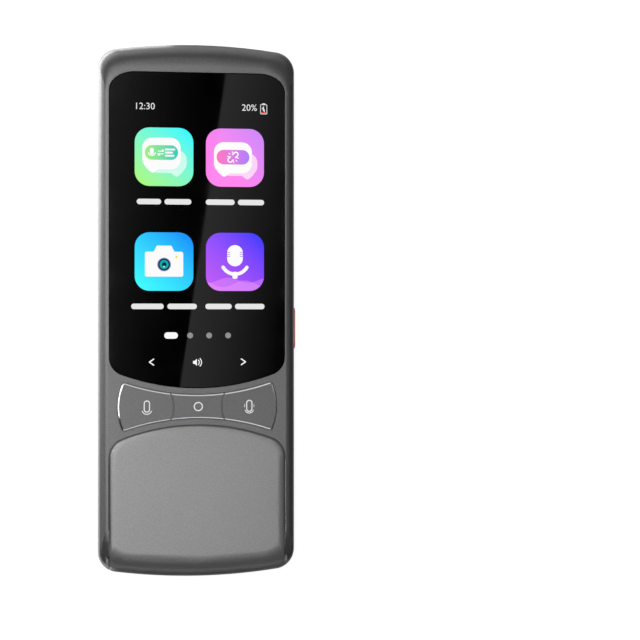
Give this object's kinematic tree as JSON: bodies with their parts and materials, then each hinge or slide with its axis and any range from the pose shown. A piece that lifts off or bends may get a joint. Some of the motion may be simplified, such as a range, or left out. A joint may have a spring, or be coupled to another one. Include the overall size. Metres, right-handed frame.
{
  "type": "handheld translator",
  "caption": "Slim handheld translator with a touch screen, bow-tie key band, red side key, slide-off lower front cover, and a rear camera and speaker grille.",
  "frame": {"origin": "middle of the rear face, on the surface that the device lies on", "axes": "+Z out of the screen, +Y towards the top end with the screen, +X to the right as the screen is read"},
  "size_m": [0.0545, 0.1464, 0.0138],
  "materials": {
    "grey_metal": "fine metallic paint, satin",
    "cover_metal": "fine metallic paint, satin, a little lighter",
    "key_metal": "fine metallic paint with bright cut edge",
    "orange_key": "satin",
    "black_glass": "polished, blacked from behind",
    "black_adhesive": "matt",
    "sensor_film": "clear film on black",
    "display_stack": "gloss",
    "pressed_steel": "pressed sheet",
    "flex_film": "amber film",
    "board_green": "solder mask",
    "tinned_steel": "tinned",
    "screw_steel": "blackened steel",
    "battery_foil": "foil pouch",
    "white_foam": "foam tape",
    "black_moulding": "moulded",
    "silicone": "silicone",
    "card_white": "printed plastic",
    "camera_dish": "spun, dark blue-black",
    "lens_glass": "coated",
    "dark_mesh": "woven mesh",
    "connector_steel": "drawn shell"
  },
  "bodies": {
    "body": {"rear_cover": "grey_metal", "front_housing": "grey_metal", "cover_glass": "black_glass", "glass_gasket": "black_adhesive", "touch_sensor": "sensor_film", "display_module": "display_stack", "display_frame": "pressed_steel", "display_ribbon": "flex_film", "main_board": "board_green", "shield_cans": "tinned_steel", "board_screws": "screw_steel", "battery": "battery_foil", "battery_pad": "white_foam", "battery_terminals": "black_moulding", "key_pad": "silicone", "key_domes": "tinned_steel", "side_switch": "tinned_steel", "card_reader": "tinned_steel", "camera_disc": "camera_dish", "camera_module": "black_moulding", "camera_lens": "lens_glass", "speaker_mesh": "dark_mesh", "speaker_gasket": "black_adhesive", "loudspeaker": "black_moulding", "usb_receptacle": "connector_steel", "microphone_boots": "silicone", "microphones": "tinned_steel", "vibration_motor": "tinned_steel", "antenna_film": "flex_film"},
    "left_key": {"key_left": "key_metal"},
    "centre_key": {"key_centre": "key_metal"},
    "right_key": {"key_right": "key_metal"},
    "power_key": {"side_key": "orange_key"},
    "bay_cover": {"lower_cover": "cover_metal"},
    "card": {"sim_card": "card_white"}
  },
  "joints": [
    {"name": "left_key_press", "type": "slide", "parent": "body", "child": "left_key", "axis": [0, 0, -1], "range_m": [0, 0.00035], "stiffness_N_per_m": 4000},
    {"name": "centre_key_press", "type": "slide", "parent": "body", "child": "centre_key", "axis": [0, 0, -1], "range_m": [0, 0.00035], "stiffness_N_per_m": 4000},
    {"name": "right_key_press", "type": "slide", "parent": "body", "child": "right_key", "axis": [0, 0, -1], "range_m": [0, 0.00035], "stiffness_N_per_m": 4000},
    {"name": "side_key_press", "type": "slide", "parent": "body", "child": "power_key", "axis": [-1, 0, 0], "range_m": [0, 0.0003], "stiffness_N_per_m": 4000},
    {"name": "lower_cover_slide", "type": "slide", "parent": "body", "child": "bay_cover", "axis": [0, -1, 0], "range_m": [0, 0.043]},
    {"name": "sim_card_slide", "type": "slide", "parent": "body", "child": "card", "axis": [1, 0, 0], "range_m": [0, 0.0126]}
  ]
}
